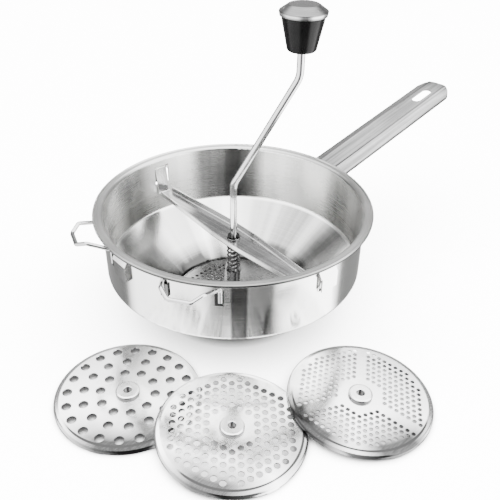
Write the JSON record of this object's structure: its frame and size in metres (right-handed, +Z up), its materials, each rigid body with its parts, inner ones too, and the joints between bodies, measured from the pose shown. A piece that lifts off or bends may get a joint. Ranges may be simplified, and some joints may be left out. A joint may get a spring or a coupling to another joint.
{
  "type": "food mill",
  "caption": "Hand-cranked stainless food mill: round bowl with long handle and wire pan hooks, sprung blade on a bent crank, and loose sieve discs lying beside it.",
  "frame": {"origin": "on the bowl's axis, in the plane that the disc seat stands on", "axes": "+Z up the crank shaft, +X towards the long handle, +Y completes the right-handed frame"},
  "size_m": [0.4673, 0.3066, 0.2413],
  "materials": {
    "bowl_steel": "brushed inside, polished outside",
    "handle_steel": "satin, brushed along its length",
    "wire_steel": "polished wire",
    "bar_steel": "pressed, satin",
    "disc_steel": "bright polished sheet",
    "blade_steel": "satin",
    "rod_steel": "polished rod",
    "spring_steel": "drawn wire",
    "turned_steel": "turned",
    "knob_plastic": "glossy black moulding",
    "cap_steel": "satin"
  },
  "bodies": {
    "mill": {"bowl": "bowl_steel", "handle": "handle_steel", "hook_front": "wire_steel", "hook_left": "wire_steel", "bridge_bar": "bar_steel", "bar_bush": "turned_steel", "disc_fitted": "disc_steel", "disc_fitted_hub": "turned_steel"},
    "spring_seat": {"thrust_washer": "turned_steel", "pressure_spring": "spring_steel"},
    "crank": {"crank_rod": "rod_steel", "shaft_clip": "spring_steel", "blade": "blade_steel", "blade_hub": "turned_steel", "hub_pin": "turned_steel", "knob_retainer": "spring_steel"},
    "knob": {"knob_body": "knob_plastic", "knob_cap": "cap_steel", "knob_sleeve": "turned_steel"},
    "coarse_disc": {"disc_coarse": "disc_steel", "disc_coarse_hub": "turned_steel"},
    "medium_disc": {"disc_medium": "disc_steel", "disc_medium_hub": "turned_steel"},
    "fine_disc": {"disc_fine": "disc_steel", "disc_fine_hub": "turned_steel"}
  },
  "joints": [
    {"name": "shaft_lift", "type": "slide", "parent": "mill", "child": "spring_seat", "axis": [0, 0, 1], "range_m": [0, 0.006], "stiffness_N_per_m": 800, "springref_m": -0.01, "deforming": ["pressure_spring"]},
    {"name": "crank_turn", "type": "hinge", "parent": "spring_seat", "child": "crank", "pos_m": [0, 0, 0.0595], "axis": [0, 0, 1], "continuous": true},
    {"name": "knob_spin", "type": "hinge", "parent": "crank", "child": "knob", "pos_m": [0.03253, -0.03253, 0.2195], "axis": [0, 0, 1], "continuous": true},
    {"name": "coarse_disc_lift", "type": "slide", "parent": "mill", "child": "coarse_disc", "axis": [-0.7781, -0.1857, 0.6], "range_m": [0, 0.08]},
    {"name": "medium_disc_lift", "type": "slide", "parent": "coarse_disc", "child": "medium_disc", "axis": [-0.5545, -0.5766, 0.6], "range_m": [0, 0.08]},
    {"name": "fine_disc_lift", "type": "slide", "parent": "medium_disc", "child": "fine_disc", "axis": [-0.1013, -0.7936, 0.6], "range_m": [0, 0.08]}
  ]
}
